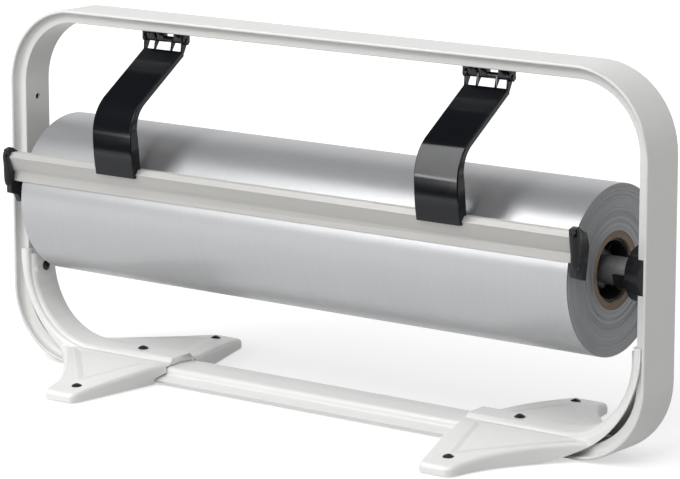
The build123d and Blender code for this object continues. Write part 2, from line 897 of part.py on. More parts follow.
bar_clearance = fit_gap + fit_gap
tab_low_z = bar_top_z + bar_ridge / 2
ear_inner = arm_half - arm_sheet
finger_outer = finger_place + finger_half
finger_inner = finger_place - finger_half


def hinge_ear(radius, foot_points):
    """Side view of an ear: round about the pivot, running on to its foot."""
    with BuildSketch(Plane.YZ, mode=Mode.PRIVATE) as ear:
        with Locations((pivot_y, pivot_z)):
            Circle(radius)
        Polygon(
            (pivot_y - radius, pivot_z),
            *foot_points,
            (pivot_y + radius, pivot_z),
            align=None,
        )
    return ear.sketch_local


ear_foot = (strap_point(0, 0), strap_point(arm_sheet, 0), strap_point(arm_sheet, arm_flange))
finger_foot = (strap_point(0, 0), strap_point(arm_sheet, 0), strap_point(arm_sheet, arm_sheet))
for side, label in ((-1, "left_arm"), (1, "right_arm")):
    middle_x = side * arm_x
    arm_plane = Plane.YZ.offset(middle_x)
    with BuildPart() as arm:
        with BuildSketch(arm_plane):
            add(flange_band(0))
            add(hinge_ear(ear_radius, ear_foot))
        extrude(amount=arm_half, both=True)
        fillet(arm.faces().filter_by(Axis.X).edges().filter_by(on_outer_face), radius=arm_edge_round)
        with BuildSketch(arm_plane):
            add(flange_band(overrun))
            add(hinge_ear(ear_radius + overrun, ear_foot))
            add(strap_band(arm_sheet), mode=Mode.SUBTRACT)
        extrude(amount=ear_inner, both=True, mode=Mode.SUBTRACT)
        with BuildSketch(arm_plane.offset(-finger_outer)):
            add(hinge_ear(barrel_radius, finger_foot))
        extrude(amount=2 * finger_half)
        with BuildSketch(arm_plane.offset(finger_inner)):
            add(hinge_ear(barrel_radius, finger_foot))
        extrude(amount=2 * finger_half)
        with BuildSketch(arm_plane):
            with Locations((pivot_y, pivot_z)):
                Circle(barrel_radius)
        extrude(amount=finger_outer)
        with BuildSketch(arm_plane):
            with Locations((pivot_y, pivot_z)):
                Circle(pin_radius + run_gap)
        extrude(amount=arm_half, both=True, mode=Mode.SUBTRACT)
        tab_front_y = arm_tip_y - arm_sheet / 2
        tab_back_y = bar_back_y - tab_back
        with BuildSketch(Plane.XY.offset(tab_low_z)):
            with Locations((middle_x, (tab_front_y + tab_back_y) / 2)):
                Rectangle(2 * tab_half, tab_back_y - tab_front_y)
            with Locations((middle_x, tab_screw_y)):
                with GridLocations(tab_half, 0, 2, 1):
                    Circle(small_shank_radius + fit_gap, mode=Mode.SUBTRACT)
        extrude(amount=arm_sheet)
        with BuildSketch(arm_plane):
            with BuildLine():
                nose = share_points(bar_shares, bar_tall, bar_back_y, bar_low_z)
                Polyline(nose, close=True)
            make_face()
            offset(amount=bar_clearance, mode=Mode.REPLACE)
        extrude(amount=arm_half, both=True, mode=Mode.SUBTRACT)
    label_and_export(arm, label)

small_screw = (small_head_radius, small_head_rise, small_shank_radius)
with BuildPart() as tab_screws:
    for side in sides:
        for step in sides:
            screw_x = side * arm_x + step * tab_half / 2
            seat = Plane(origin=(screw_x, tab_screw_y, tab_low_z + arm_sheet))
            add(screw(seat, small_length, *small_screw))
label_and_export(tab_screws, "tab_screws")

# Hinge brackets under the top bar, with knuckles between the arms' fingers
plate_z = under_z - bracket_sheet
for side, name in ((-1, "left"), (1, "right")):
    middle_x = side * arm_x
    bracket_plane = Plane.YZ.offset(middle_x)
    ear_start = arm_half + knuckle_gap
    knuckles = (
        (-bracket_half, -ear_start, bracket_ear_radius),
        (-ear_inner + knuckle_gap, -finger_outer - knuckle_gap, barrel_radius),
        (-finger_inner + knuckle_gap, -knuckle_gap, barrel_radius),
        (finger_outer + knuckle_gap, ear_inner - knuckle_gap, barrel_radius),
        (ear_start, bracket_half, bracket_ear_radius),
    )
    with BuildPart() as hinge_bracket:
        with BuildSketch(Plane.XY.offset(plate_z)):
            with Locations((middle_x, (bracket_front_y + bracket_back_y) / 2)):
                Rectangle(2 * bracket_half, bracket_back_y - bracket_front_y)
            with Locations((middle_x, (bracket_front_y + tongue_back_y) / 2)):
                Rectangle(2 * tongue_half, tongue_back_y - bracket_front_y)
        extrude(amount=bracket_sheet)
        for low_x, high_x, radius in knuckles:
            with BuildSketch(bracket_plane.offset(low_x)):
                add(hinge_ear(radius, ((pivot_y - radius, plate_z), (pivot_y + radius, plate_z))))
            extrude(amount=high_x - low_x)
        with BuildSketch(bracket_plane):
            with Locations((pivot_y, pivot_z)):
                Circle(pin_radius + fit_gap)
        extrude(amount=bracket_half, both=True, mode=Mode.SUBTRACT)
        with BuildSketch(Plane.XY.offset(plate_z - bracket_sheet)):
            with Locations((middle_x, bracket_screw_y)):
                with GridLocations(2 * bracket_screw_x, 0, 2, 1):
                    Circle(small_shank_radius + fit_gap)
        extrude(amount=2 * bracket_sheet, mode=Mode.SUBTRACT)
    label_and_export(hinge_bracket, f"{name}_hinge_bracket")
    with BuildPart() as hinge_pin:
        with BuildSketch(bracket_plane):
            with Locations((pivot_y, pivot_z)):
                Circle(pin_radius)
        extrude(amount=bracket_half, both=True)
        for end in sides:
            with BuildSketch(bracket_plane.offset(end * bracket_half)):
                with Locations((pivot_y, pivot_z)):
                    Circle(pin_head_radius)
            extrude(amount=end * pin_head)
    label_and_export(hinge_pin, f"{name}_hinge_pin")

with BuildPart() as bracket_screws:
    for side in sides:
        for step in sides:
            screw_x = side * arm_x + step * bracket_screw_x
            seat = Plane(origin=(screw_x, bracket_screw_y, plate_z), z_dir=(0, 0, -1))
            add(screw(seat, bracket_screw_length, *small_screw))
label_and_export(bracket_screws, "bracket_screws")
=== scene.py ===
import json
import math

import bmesh
import bpy
from mathutils import Euler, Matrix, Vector


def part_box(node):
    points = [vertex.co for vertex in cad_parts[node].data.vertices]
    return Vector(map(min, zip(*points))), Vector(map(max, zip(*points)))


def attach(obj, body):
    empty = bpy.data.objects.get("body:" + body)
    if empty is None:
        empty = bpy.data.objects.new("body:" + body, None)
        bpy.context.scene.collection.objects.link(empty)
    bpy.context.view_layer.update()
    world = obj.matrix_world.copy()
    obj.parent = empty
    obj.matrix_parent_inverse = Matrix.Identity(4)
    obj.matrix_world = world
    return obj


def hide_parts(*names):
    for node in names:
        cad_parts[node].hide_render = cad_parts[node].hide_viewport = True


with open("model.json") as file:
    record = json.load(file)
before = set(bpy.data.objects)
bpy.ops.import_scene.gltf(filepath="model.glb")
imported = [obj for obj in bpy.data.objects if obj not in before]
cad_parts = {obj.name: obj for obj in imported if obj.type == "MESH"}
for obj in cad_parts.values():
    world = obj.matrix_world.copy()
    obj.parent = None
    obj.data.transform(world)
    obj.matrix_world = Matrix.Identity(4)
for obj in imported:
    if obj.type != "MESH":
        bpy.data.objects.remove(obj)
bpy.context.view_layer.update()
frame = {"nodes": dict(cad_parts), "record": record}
record = frame["record"]
print("frame loaded")

mm = 0.001
bodyOf = {
    node: body
    for body, nodes in record["behaviour"]["bodies"].items()
    for node in nodes
}
slotOf = {part["node"]: part["material_slot"] for part in record["subparts"]}
rollAxis = {"y": 6.3 * mm, "z": 134.0 * mm}


def addNode(tree, kind, **settings):
    node = tree.nodes.new(kind)
    for name, value in settings.items():
        setattr(node, name, value)
    return node


def plug(tree, socket, value):
    if isinstance(value, bpy.types.NodeSocket):
        tree.links.new(value, socket)
    else:
        socket.default_value = value


def maths(tree, operation, a, b=0.0, c=0.0, clamp=False):
    kind = "ShaderNodeMath"
    node = addNode(tree, kind, operation=operation, use_clamp=clamp)
    for socket, value in zip(node.inputs, (a, b, c)):
        plug(tree, socket, value)
    return node.outputs[0]


def ramp(tree, factor, low, high, lowTo=0.0, highTo=1.0):
    node = addNode(tree, "ShaderNodeMapRange")
    ends = {"Value": factor, "From Min": low, "From Max": high, "To Min": lowTo, "To Max": highTo}
    for name, value in ends.items():
        plug(tree, node.inputs[name], value)
    return node.outputs["Result"]


class Finish:
    # one procedural material: a shader, object coordinates and a running normal for the bumps
    def __init__(self, name, look):
        self.material = bpy.data.materials.new(name)
        self.material.use_nodes = True
        self.tree = self.material.node_tree
        self.shader = self.tree.nodes["Principled BSDF"]
        self.colour = (*look["colour"], 1)
        self.rough = look["roughness"]
        self.normal = None
        levels = {
            "Base Color": self.colour,
            "Roughness": self.rough,
            "Metallic": look.get("metallic", 0.0),
            "Coat Weight": look.get("coat", 0.0),
            "Coat Roughness": 0.12,
            "Specular IOR Level": look.get("specular", 0.5),
            "IOR": 1.5,
        }
        for socket, level in levels.items():
            self.shader.inputs[socket].default_value = level
        self.place = addNode(self.tree, "ShaderNodeTexCoord").outputs["Object"]

    def axes(self):
        parts = addNode(self.tree, "ShaderNodeSeparateXYZ")
        self.tree.links.new(self.place, parts.inputs[0])
        return parts.outputs["X"], parts.outputs["Y"], parts.outputs["Z"]

    def noise(self, scale, detail, stretch=(1, 1, 1), roughness=0.55):
        stretched = addNode(self.tree, "ShaderNodeMapping", vector_type="POINT")
        stretched.inputs["Scale"].default_value = stretch
        self.tree.links.new(self.place, stretched.inputs["Vector"])
        node = addNode(self.tree, "ShaderNodeTexNoise")
        node.inputs["Scale"].default_value = scale
        node.inputs["Detail"].default_value = detail
        node.inputs["Roughness"].default_value = roughness
        self.tree.links.new(stretched.outputs["Vector"], node.inputs["Vector"])
        return node.outputs["Fac"]

    def noiseAlong(self, value, scale, detail):
        # noise along one value, such as the distance from the roll's axis
        node = addNode(self.tree, "ShaderNodeTexNoise", noise_dimensions="1D")
        node.inputs["Scale"].default_value = scale
        node.inputs["Detail"].default_value = detail
        plug(self.tree, node.inputs["W"], value)
        return node.outputs["Fac"]

    def speck(self, scale, size, core=0.4):
        node = addNode(self.tree, "ShaderNodeTexVoronoi", feature="F1")
        node.inputs["Scale"].default_value = scale
        self.tree.links.new(self.place, node.inputs["Vector"])
        return ramp(self.tree, node.outputs["Distance"], size, size * core)

    def aroundRoll(self):
        # distance from the roll's axis, the angle round it and the place along it
        x, y, z = self.axes()
        y = maths(self.tree, "SUBTRACT", y, rollAxis["y"])
        z = maths(self.tree, "SUBTRACT", z, rollAxis["z"])
        squares = maths(self.tree, "MULTIPLY_ADD", y, y, maths(self.tree, "MULTIPLY", z, z))
        return maths(self.tree, "SQRT", squares), maths(self.tree, "ARCTAN2", z, y), x

    def tint(self, factor, colour, amount):
        node = addNode(self.tree, "ShaderNodeMix", data_type="RGBA")
        plug(self.tree, node.inputs[0], maths(self.tree, "MULTIPLY", factor, amount, clamp=True))
        plug(self.tree, node.inputs[6], self.colour)
        plug(self.tree, node.inputs[7], (*colour, 1))
        self.colour = node.outputs[2]
        self.tree.links.new(self.colour, self.shader.inputs["Base Color"])

    def gloss(self, factor, spread):
        change = maths(self.tree, "MULTIPLY", maths(self.tree, "SUBTRACT", factor, 0.5), spread)
        self.rough = maths(self.tree, "ADD", self.rough, change, clamp=True)
        self.tree.links.new(self.rough, self.shader.inputs["Roughness"])

    def bump(self, height, strength, depth):
        node = addNode(self.tree, "ShaderNodeBump")
        node.inputs["Strength"].default_value = strength
        node.inputs["Distance"].default_value = depth
        plug(self.tree, node.inputs["Height"], height)
        if self.normal:
            self.tree.links.new(self.normal, node.inputs["Normal"])
        self.normal = node.outputs["Normal"]
        self.tree.links.new(self.normal, self.shader.inputs["Normal"])


def makeFinish(name, look, ownPatterns=None):
    # noises by name, more patterns where a finish has its own, then what each one does
    finish = Finish(name, look)
    patterns = {key: finish.noise(*values) for key, values in look["noises"].items()}
    if ownPatterns:
        patterns.update(ownPatterns(finish, look))
    for key, colour, amount in look["tints"]:
        if isinstance(colour, float):  # a share of the finish's own colour
            colour = tuple(colour * c for c in look["colour"])
        finish.tint(patterns[key], colour, amount)
    for key, spread in look.get("glosses", ()):
        finish.gloss(patterns[key], spread)
    for key, strength, depth in look["bumps"]:
        finish.bump(patterns[key], strength, depth)
    return finish.material


finishes = {}

# white paint: slow change of tone, dust in the coat, orange peel; a lighter batch on the feet
framePaint = {
    "colour": (0.62, 0.62, 0.604),
    "roughness": 0.40,
    "coat": 0.12,
    "dust": (420, 0.06),
    "noises": {"tone": (7, 4), "haze": (40, 3), "peel": (1100, 2), "wave": (160, 2)},
    "tints": [("tone", (0.575, 0.577, 0.56), 0.5), ("dust", 0.72, 0.35)],
    "glosses": [("haze", 0.16)],
    "bumps": [("peel", 0.10, 0.12 * mm), ("wave", 0.08, 0.3 * mm)],
}

# shallow fields pressed into the toes, as corners on the plan of the right foot
pressedToes = {
    "frontField": [(153 * mm, -19 * mm), (177 * mm, -84 * mm), (236 * mm, -19 * mm)],
    "backField": [(226 * mm, 20 * mm), (169 * mm, 80 * mm), (154 * mm, 20 * mm)],
    "depth": 1.1 * mm,
    "soft": 2.2 * mm,
}
footPaint = {
    **framePaint,
    "colour": (0.71, 0.712, 0.698),
    "fields": ("frontField", "backField"),
    "tints": [("tone", (0.66, 0.662, 0.647), 0.5), ("dust", 0.72, 0.35)],
    "bumps": [
        ("frontField", 1.0, pressedToes["depth"]), ("backField", 1.0, pressedToes["depth"]),
        *framePaint["bumps"],
    ],
}


def outsideField(finish, corners, soft):
    # 0 inside a three-cornered field of a foot, 1 outside, seen from above; both feet share it
    tree = finish.tree
    x, y = finish.axes()[:2]
    y = maths(tree, "MULTIPLY", y, maths(tree, "SIGN", x))
    x = maths(tree, "ABSOLUTE", x)
    inside = None
    for (ax, ay), (bx, by) in zip(corners, corners[1:] + corners[:1]):
        length = math.hypot(bx - ax, by - ay)
        nx, ny = (ay - by) / length, (bx - ax) / length
        reach = maths(tree, "MULTIPLY_ADD", y, ny, -(nx * ax + ny * ay))
        side = maths(tree, "MULTIPLY_ADD", x, nx, reach)
        inside = side if inside is None else maths(tree, "SMOOTH_MIN", inside, side, soft * 2)
    return maths(tree, "SUBTRACT", 1.0, ramp(tree, inside, -soft, soft))


def paintPatterns(finish, look):
    patterns = {"dust": finish.speck(*look["dust"])}
    for field in look.get("fields", ()):
        patterns[field] = outsideField(finish, pressedToes[field], pressedToes["soft"])
    return patterns


finishes["frame_paint"] = makeFinish("framePaintFinish", framePaint, paintPatterns)
finishes["foot_paint"] = makeFinish("footPaintFinish", footPaint, paintPatterns)

# black lacquered sheet; the lower half of each strap is crowned, not flat
blackSheet = {
    "colour": (0.0030, 0.0036, 0.0052),
    "roughness": 0.13,
    "specular": 0.29,
    "crownFrom": 208 * mm,
    "crownTo": 176 * mm,
    "noises": {"cloud": (26, 4), "rub": (220, 4), "haze": (18, 3), "grain": (1500, 3)},
    "tints": [("cloud", (0.0055, 0.0063, 0.0085), 0.7)],
    "glosses": [("rub", 0.06), ("haze", 0.05)],
    "bumps": [("grain", 0.06, 0.05 * mm), ("crown", 1.0, 4.5 * mm)],
}


def sheetPatterns(finish, look):
    height = finish.axes()[2]
    crown = ramp(finish.tree, height, look["crownTo"], look["crownFrom"], 1.0, 0.0)
    crown.node.interpolation_type = "SMOOTHSTEP"
    return {"crown": crown}


finishes["black_sheet"] = makeFinish("blackSheetFinish", blackSheet, sheetPatterns)

# moulded black plastic with an eroded grain; the caps' grips take a smoother, darker copy, and their
# darker colour is partly painted shade
blackPlastic = {
    "colour": (0.0105, 0.0115, 0.0135),
    "roughness": 0.36,
    "specular": 0.28,
    "noises": {"cloud": (60, 4), "rub": (300, 3), "grain": (2600, 3)},
    "tints": [("cloud", (0.020, 0.021, 0.024), 0.6)],
    "glosses": [("rub", 0.18)],
    "bumps": [("grain", 0.22, 0.08 * mm)],
}
gripPlasticPartlyPaintedShade = {
    **blackPlastic,
    # partly painted shade: the grip is darker than the cap's plastic, partly standing in for the shade
    # on its sides
    "colour": (0.0014, 0.0016, 0.0022),
    "roughness": 0.26,
    "tints": [("cloud", (0.003, 0.0033, 0.0042), 0.6)],
}
finishes["black_plastic"] = makeFinish("blackPlasticFinish", blackPlastic)
gripPlastic = makeFinish("gripPlasticFinish", gripPlasticPartlyPaintedShade)

# extruded bar with die lines along it
barMetal = {
    "colour": (0.43, 0.425, 0.41),
    "roughness": 0.42,
    "metallic": 0.30,
    "noises": {"dieLines": (1, 4, (5, 1600, 1600)), "cloud": (14, 3)},
    "tints": [("dieLines", (0.36, 0.355, 0.34), 0.5), ("cloud", (0.47, 0.465, 0.45), 0.3)],
    "glosses": [("dieLines", 0.16)],
    "bumps": [("dieLines", 0.10, 0.05 * mm)],
}
finishes["bar_metal"] = makeFinish("barMetalFinish", barMetal)

# blade with grinding marks across its edge; its steel colour is darkened as painted shade, so the blade
# shows as the shadow line under the bar
bladeSteelWithPaintedShade = {
    # painted shade: the steel is darker than its own tone, standing in for the shadow under the bar
    "colour": (0.30, 0.30, 0.305),
    "roughness": 0.30,
    "metallic": 1.0,
    "noises": {"grinding": (1, 3, (2400, 400, 45))},
    "tints": [("grinding", (0.20, 0.20, 0.21), 0.5)],
    "glosses": [("grinding", 0.2)],
    "bumps": [("grinding", 0.12, 0.04 * mm)],
}
finishes["blade_steel"] = makeFinish("bladeSteelPaintedShadeFinish", bladeSteelWithPaintedShade)

# shaft with turning marks round it
shaftSteel = {
    "colour": (0.62, 0.65, 0.66),
    "roughness": 0.30,
    "metallic": 0.85,
    "noises": {"turning": (1, 3, (1900, 25, 25)), "stain": (90, 4)},
    "tints": [("turning", (0.43, 0.45, 0.46), 0.5), ("stain", (0.30, 0.29, 0.28), 0.35)],
    "glosses": [("turning", 0.18)],
    "bumps": [("turning", 0.10, 0.05 * mm)],
}
finishes["shaft_steel"] = makeFinish("shaftSteelFinish", shaftSteel)

# silver paper: fine lines round the roll and tension ripples in the web
silverPaper = {
    "colour": (0.455, 0.457, 0.467),
    "roughness": 0.34,
    "metallic": 0.68,
    "noises": {
        "lines": (1, 4, (1400, 14, 14)),
        "ripples": (1, 3, (60, 5, 5)),
        "fibre": (700, 3),
    },
    "tints": [
        ("lines", (0.335, 0.34, 0.353), 0.6),
        ("ripples", (0.48, 0.485, 0.50), 0.35),
        ("fibre", (0.36, 0.365, 0.375), 0.35),
    ],
    "glosses": [("lines", 0.14)],
    "bumps": [("lines", 0.07, 0.05 * mm), ("ripples", 0.10, 0.25 * mm)],
}
finishes["silver_paper"] = makeFinish("silverPaperFinish", silverPaper)

# the roll's ends: layer upon layer, cloudy where the web was wound looser
paperEnd = {
    "colour": (0.29, 0.30, 0.31),
    "roughness": 0.5,
    "metallic": 0.35,
    "layers": (2600, 4),
    "layerDrift": 0.00003,
    "bands": (420, 2),
    "noises": {"cloud": (30, 3)},
    "tints": [
        ("layers", (0.12, 0.125, 0.13), 0.8),
        ("bands", (0.42, 0.43, 0.44), 0.55),
        ("cloud", (0.17, 0.175, 0.18), 0.5),
    ],
    "glosses": [("layers", 0.2)],
    "bumps": [("layers", 0.35, 0.15 * mm)],
}


def paperEndPatterns(finish, look):
    distance, angle = finish.aroundRoll()[:2]
    spiral = maths(finish.tree, "MULTIPLY_ADD", angle, look["layerDrift"], distance)
    return {
        "layers": finish.noiseAlong(spiral, *look["layers"]),
        "bands": finish.noiseAlong(distance, *look["bands"]),
    }


paperEdge = makeFinish("paperEdgeFinish", paperEnd, paperEndPatterns)

# brown core with the butt joint of its spiral ply
cardboard = {
    "colour": (0.235, 0.175, 0.120),
    "roughness": 0.82,
    "turnsPerMetre": 14.0,
    "seamWidth": 0.03,
    "noises": {"fibre": (900, 5), "streaks": (1, 4, (90, 700, 700)), "nap": (1400, 4)},
    "tints": [
        ("seam", (0.10, 0.06, 0.035), 0.8),
        ("fibre", (0.32, 0.245, 0.18), 0.6),
        ("streaks", (0.15, 0.105, 0.07), 0.5),
    ],
    "bumps": [("nap", 0.25, 0.1 * mm)],
}


def cardboardPatterns(finish, look):
    angle, along = finish.aroundRoll()[1:]
    share = maths(finish.tree, "DIVIDE", angle, 2 * math.pi)
    turns = maths(finish.tree, "MULTIPLY_ADD", along, look["turnsPerMetre"], share)
    fromSeam = maths(finish.tree, "PINGPONG", turns, 0.5)
    return {"seam": ramp(finish.tree, fromSeam, look["seamWidth"], 0.0)}


finishes["cardboard"] = makeFinish("cardboardFinish", cardboard, cardboardPatterns)

# blackened screws and pins, zinc-plated nuts and washers, rubber pads
blackScrew = {
    "colour": (0.012, 0.012, 0.014),
    "roughness": 0.24,
    "metallic": 0.35,
    "noises": {"stain": (500, 4), "rub": (700, 3), "grain": (1800, 3)},
    "tints": [("stain", (0.035, 0.033, 0.032), 0.6)],
    "glosses": [("rub", 0.2)],
    "bumps": [("grain", 0.08, 0.05 * mm)],
}
zincedSteel = {
    "colour": (0.46, 0.46, 0.45),
    "roughness": 0.34,
    "metallic": 1.0,
    "noises": {"spangle": (350, 4), "rub": (500, 3), "grain": (1300, 3)},
    "tints": [("spangle", (0.33, 0.34, 0.34), 0.6)],
    "glosses": [("rub", 0.22)],
    "bumps": [("grain", 0.10, 0.05 * mm)],
}
padRubber = {
    "colour": (0.022, 0.022, 0.023),
    "roughness": 0.78,
    "dust": (1500, 0.2),
    "noises": {"cloud": (120, 4), "grain": (2000, 4)},
    "tints": [("cloud", (0.045, 0.044, 0.043), 0.6), ("dust", (0.07, 0.07, 0.07), 0.3)],
    "bumps": [("grain", 0.4, 0.12 * mm)],
}
finishes["black_screw"] = makeFinish("blackScrewFinish", blackScrew)
finishes["plain_steel"] = makeFinish("zincedSteelFinish", zincedSteel)
finishes["pad_rubber"] = makeFinish("padRubberFinish", padRubber, paintPatterns)
print("finishes made:", len(finishes) + 2)


def linkPiece(name, mesh):
    piece = bpy.data.objects.new(name, mesh)
    bpy.context.scene.collection.objects.link(piece)
    return piece


def settle(piece, node):
    # the piece stands for a CAD node: same body, same slot
    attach(piece, bodyOf[node])
    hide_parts(node)


def smoothTo(piece, degrees):
    piece.data.shade_smooth()
    piece.data.set_sharp_from_angle(angle=math.radians(degrees))


def newTree(name, inputs):
    tree = bpy.data.node_groups.new(name, "GeometryNodeTree")
    for way in ("INPUT", "OUTPUT"):
        tree.interface.new_socket("Geometry", in_out=way, socket_type="NodeSocketGeometry")
    for label, kind in inputs:
        tree.interface.new_socket(label, in_out="INPUT", socket_type="NodeSocket" + kind)
    return tree, addNode(tree, "NodeGroupInput"), addNode(tree, "NodeGroupOutput")


def passOn(tree, geometry, kind, **settings):
    # one more node at the end of a line of geometry
    node = addNode(tree, kind, **settings)
    tree.links.new(geometry, node.inputs[0])
    return node


def setFinish(tree, geometry, material):
    node = passOn(tree, geometry, "GeometryNodeSetMaterial")
    plug(tree, node.inputs["Material"], material)
    return node


def growPiece(name, tree, values, start=None):
    # runs a tree on a holder and keeps the plain mesh that it gives
    holder = linkPiece(name + "Holder", start or bpy.data.meshes.new(name + "Start"))
    modifier = holder.modifiers.new("grow", "NODES")
    modifier.node_group = tree
    for item in tree.interface.items_tree:
        if item.item_type == "SOCKET" and item.in_out == "INPUT" and item.name in values:
            modifier[item.identifier] = values[item.name]
    graph = bpy.context.evaluated_depsgraph_get()
    mesh = bpy.data.meshes.new_from_object(
        holder.evaluated_get(graph), preserve_all_data_layers=True, depsgraph=graph
    )
    bpy.data.objects.remove(holder)
    return linkPiece(name, mesh)


def meshFrom(name, work):
    # a mesh from the worked shape, with its faces turned outwards
    bmesh.ops.recalc_face_normals(work, faces=work.faces)
    mesh = bpy.data.meshes.new(name)
    work.to_mesh(mesh)
    work.free()
    return mesh


def joinRings(work, rings):
    # a wall of faces between closed rings of equal length
    for low, high in zip(rings, rings[1:]):
        for i in range(len(low)):
            j = (i + 1) % len(low)
            work.faces.new((low[i], low[j], high[j], high[i]))


def closeAndTurnOut(piece, gap=0.002 * mm):
    work = bmesh.new()
    work.from_mesh(piece.data)
    bmesh.ops.remove_doubles(work, verts=work.verts, dist=gap)
    bmesh.ops.recalc_face_normals(work, faces=work.faces)
    work.to_mesh(piece.data)
    work.free()


# paper roll: every layer's edge stands a little in or out at the ends
paperRoll = {
    "length": 500.0 * mm,
    "outerRadius": 61.2 * mm,
    "innerRadius": 28.02 * mm,
    "rowsPerUnit": 300,
    "segments": 144,
    "unevenEnds": 0.32 * mm,
    "seed": 5,
    "sharpAngle": 50,
}


def woundPaperTree():
    tree, given, result = newTree("woundPaper", (
        ("Length", "Float"), ("Outer Radius", "Float"), ("Inner Radius", "Float"),
        ("Axis Y", "Float"), ("Axis Z", "Float"), ("Rows", "Int"), ("Segments", "Int"),
        ("Uneven Ends", "Float"), ("Seed", "Int"), ("Sheet", "Material"), ("Sheet Edge", "Material"),
    ))
    take = given.outputs
    grid = addNode(tree, "GeometryNodeMeshGrid")
    plug(tree, grid.inputs["Vertices X"], take["Segments"])
    plug(tree, grid.inputs["Vertices Y"], take["Rows"])
    place = addNode(tree, "ShaderNodeSeparateXYZ")
    tree.links.new(addNode(tree, "GeometryNodeInputPosition").outputs[0], place.inputs[0])
    angle = maths(tree, "MULTIPLY", place.outputs["X"], 2 * math.pi)
    u = maths(tree, "ADD", place.outputs["Y"], 0.5)
    # u runs out over one end, along the outside, in over the other end and back along the bore
    firstEnd, outside, secondEnd = 0.4, 0.5, 0.9
    outward = maths(tree, "SUBTRACT", ramp(tree, u, 0.0, firstEnd), ramp(tree, u, outside, secondEnd))
    across = maths(tree, "SUBTRACT", ramp(tree, u, firstEnd, outside), ramp(tree, u, secondEnd, 1.0))
    wall = maths(tree, "SUBTRACT", take["Outer Radius"], take["Inner Radius"])
    radius = maths(tree, "ADD", take["Inner Radius"], maths(tree, "MULTIPLY", outward, wall))
    x = maths(tree, "MULTIPLY", maths(tree, "SUBTRACT", across, 0.5), take["Length"])
    # a fixed random step for each row, but not at the outermost and innermost layers
    layer = addNode(tree, "FunctionNodeRandomValue", data_type="FLOAT")
    idsPerUnit, edgeLayers = 1000.0, 0.02
    rowNumber = maths(tree, "ROUND", maths(tree, "MULTIPLY", u, idsPerUnit))
    plug(tree, layer.inputs["ID"], rowNumber)
    plug(tree, layer.inputs["Seed"], take["Seed"])
    beyondFirst = maths(tree, "GREATER_THAN", outward, edgeLayers)
    beforeLast = maths(tree, "LESS_THAN", outward, 1.0 - edgeLayers)
    step = maths(tree, "MULTIPLY", layer.outputs[1], take["Uneven Ends"])
    step = maths(tree, "MULTIPLY", step, maths(tree, "MULTIPLY", beyondFirst, beforeLast))
    x = maths(tree, "SUBTRACT", x, maths(tree, "MULTIPLY", step, maths(tree, "SIGN", x)))
    spot = addNode(tree, "ShaderNodeCombineXYZ")
    plug(tree, spot.inputs["X"], x)
    for label, turn in (("Y", "COSINE"), ("Z", "SINE")):
        swing = maths(tree, "MULTIPLY", radius, maths(tree, turn, angle))
        plug(tree, spot.inputs[label], maths(tree, "ADD", take["Axis " + label], swing))
    onEnd = maths(
        tree, "MAXIMUM",
        maths(tree, "COMPARE", u, firstEnd / 2, firstEnd / 2),
        maths(tree, "COMPARE", u, (outside + secondEnd) / 2, (secondEnd - outside) / 2),
    )
    hold = passOn(
        tree, grid.outputs["Mesh"], "GeometryNodeStoreNamedAttribute", data_type="FLOAT", domain="FACE"
    )
    hold.inputs["Name"].default_value = "onEnd"
    plug(tree, hold.inputs["Value"], onEnd)
    move = passOn(tree, hold.outputs["Geometry"], "GeometryNodeSetPosition")
    tree.links.new(spot.outputs[0], move.inputs["Position"])
    merge = passOn(tree, move.outputs["Geometry"], "GeometryNodeMergeByDistance")
    merge.inputs["Distance"].default_value = 0.004 * mm
    real = passOn(tree, merge.outputs["Geometry"], "GeometryNodeRealizeInstances")
    sheet = setFinish(tree, real.outputs["Geometry"], take["Sheet"])
    edges = setFinish(tree, sheet.outputs["Geometry"], take["Sheet Edge"])
    mark = addNode(tree, "GeometryNodeInputNamedAttribute", data_type="FLOAT")
    mark.inputs["Name"].default_value = "onEnd"
    chosen = maths(tree, "GREATER_THAN", mark.outputs["Attribute"], 0.5)
    plug(tree, edges.inputs["Selection"], chosen)
    tree.links.new(edges.outputs["Geometry"], result.inputs["Geometry"])
    return tree


roll = growPiece("woundPaperRoll", woundPaperTree(), {
    "Length": paperRoll["length"],
    "Outer Radius": paperRoll["outerRadius"],
    "Inner Radius": paperRoll["innerRadius"],
    "Axis Y": rollAxis["y"],
    "Axis Z": rollAxis["z"],
    "Rows": paperRoll["rowsPerUnit"] + 1,
    "Segments": paperRoll["segments"] + 1,
    "Uneven Ends": paperRoll["unevenEnds"],
    "Seed": paperRoll["seed"],
    "Sheet": finishes["silver_paper"],
    "Sheet Edge": paperEdge,
})
closeAndTurnOut(roll)
smoothTo(roll, paperRoll["sharpAngle"])
settle(roll, "paper_roll")
print("paper roll:", len(roll.data.polygons), "faces")


# cutting blade: a thin strip whose lower edge is cut to fine teeth
blade = {
    "pitch": 1.15 * mm,
    "toothHeight": 0.9 * mm,
    "tipShare": 0.08,
    "grindShare": 0.1,
    "upperChamfer": 0.12 * mm,
    "endMargin": 0.6 * mm,
}


def makeTooth(thick):
    # pointed prism, hollow ground to one side, standing upside down
    half, tip = blade["pitch"] / 2, blade["pitch"] / 2 * blade["tipShare"]
    front, back, ground = -thick / 2, thick / 2, -thick * blade["grindShare"]
    low = -blade["toothHeight"]
    points = [
        (-half, front, 0), (half, front, 0), (half, back, 0), (-half, back, 0),
        (-tip, ground, low), (tip, ground, low),
    ]
    faces = [(0, 1, 2, 3), (1, 0, 4, 5), (3, 2, 5, 4), (0, 3, 4), (2, 1, 5)]
    mesh = bpy.data.meshes.new("bladeTooth")
    mesh.from_pydata(points, [], faces)
    tooth = linkPiece("bladeTooth", mesh)
    closeAndTurnOut(tooth)
    return tooth


